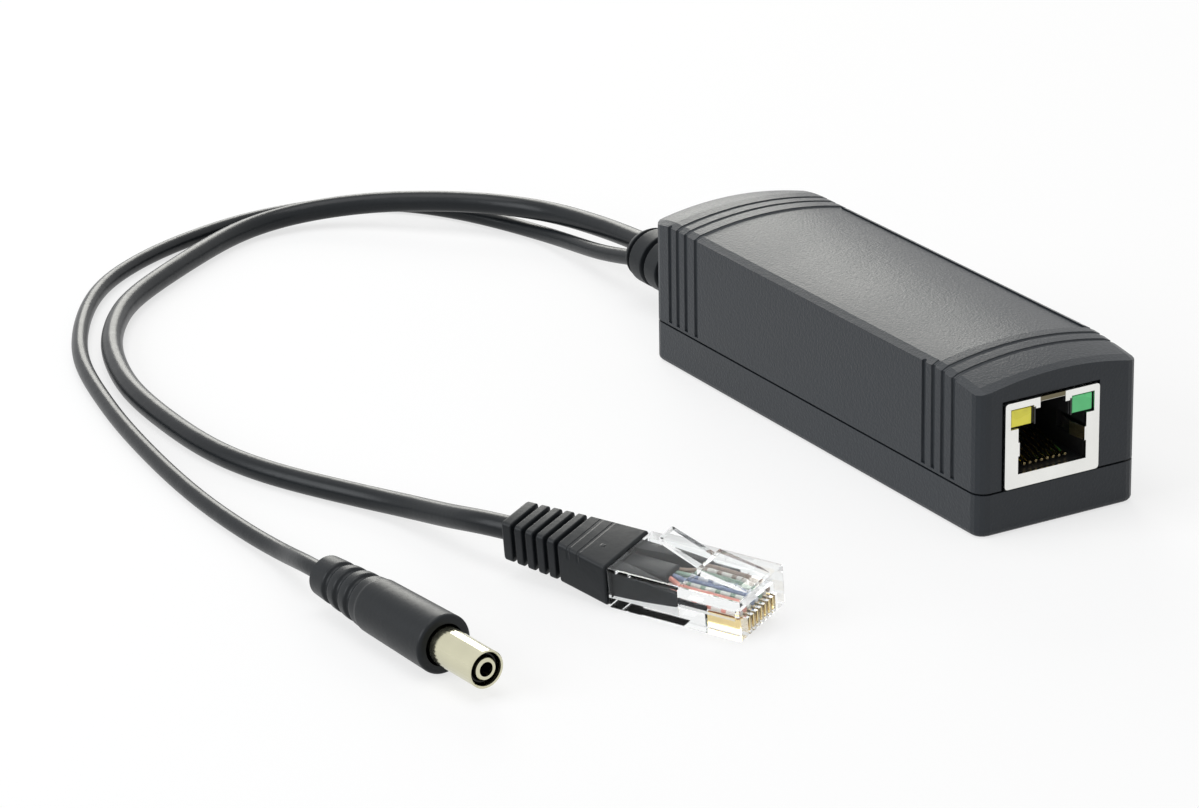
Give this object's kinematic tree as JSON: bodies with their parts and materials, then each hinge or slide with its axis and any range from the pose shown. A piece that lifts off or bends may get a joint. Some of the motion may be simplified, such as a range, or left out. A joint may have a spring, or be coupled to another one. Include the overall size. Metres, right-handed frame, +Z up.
{
  "type": "active power over ethernet adapter",
  "caption": "Long arched housing with a shielded network jack at one end, and at the other a strain relief with two short leads, one to a network plug and one to a power plug.",
  "frame": {"origin": "middle of the housing's flat underside", "axes": "+X along the housing towards the network jack, +Z up from the surface it rests on, +Y to the left of +X"},
  "size_m": [0.1942, 0.1204, 0.025],
  "materials": {
    "housing_plastic": "satin",
    "insert_plastic": "matt",
    "nickel": "bright plated",
    "gold": "bright plated",
    "yellow_lamp": "translucent",
    "green_lamp": "translucent",
    "board_green": "satin",
    "chip_black": "matt",
    "ferrite": "matt",
    "winding_tape": "satin",
    "can_sleeve": "gloss",
    "rubber": "matt",
    "lead_black": "satin",
    "moulding_black": "satin",
    "clear_plastic": "clear",
    "core_white_orange": "satin",
    "core_orange": "satin",
    "core_white_green": "satin",
    "core_blue": "satin",
    "core_white_blue": "satin",
    "core_green": "satin",
    "core_white_brown": "satin",
    "core_brown": "satin"
  },
  "bodies": {
    "root": {"top_cover": "housing_plastic", "bottom_base": "housing_plastic", "jack_shield": "nickel", "jack_insert": "insert_plastic", "jack_led_yellow": "yellow_lamp", "jack_led_green": "green_lamp", "circuit_board": "board_green", "lan_transformer": "chip_black", "bridge_rectifier_1": "chip_black", "bridge_rectifier_2": "chip_black", "controller_ic": "chip_black", "switching_transistor": "chip_black", "output_diode": "chip_black", "optocoupler": "winding_tape", "input_capacitor": "can_sleeve", "output_capacitor": "can_sleeve", "output_inductor": "can_sleeve", "flyback_core": "ferrite", "flyback_bobbin": "winding_tape", "cable_gland": "rubber", "ethernet_cable": "lead_black", "power_cable": "lead_black", "rj45_plug_boot": "rubber", "rj45_plug_body": "clear_plastic", "dc_plug_moulding": "moulding_black", "dc_plug_sleeve": "nickel", "dc_plug_insulator": "insert_plastic", "dc_plug_tip": "nickel", "jack_contact_1": "gold", "rj45_contact_1": "gold", "rj45_wire_1": "core_white_orange", "jack_contact_2": "gold", "rj45_contact_2": "gold", "rj45_wire_2": "core_orange", "jack_contact_3": "gold", "rj45_contact_3": "gold", "rj45_wire_3": "core_white_green", "jack_contact_4": "gold", "rj45_contact_4": "gold", "rj45_wire_4": "core_blue", "jack_contact_5": "gold", "rj45_contact_5": "gold", "rj45_wire_5": "core_white_blue", "jack_contact_6": "gold", "rj45_contact_6": "gold", "rj45_wire_6": "core_green", "jack_contact_7": "gold", "rj45_contact_7": "gold", "rj45_wire_7": "core_white_brown", "jack_contact_8": "gold", "rj45_contact_8": "gold", "rj45_wire_8": "core_brown"}
  },
  "joints": []
}
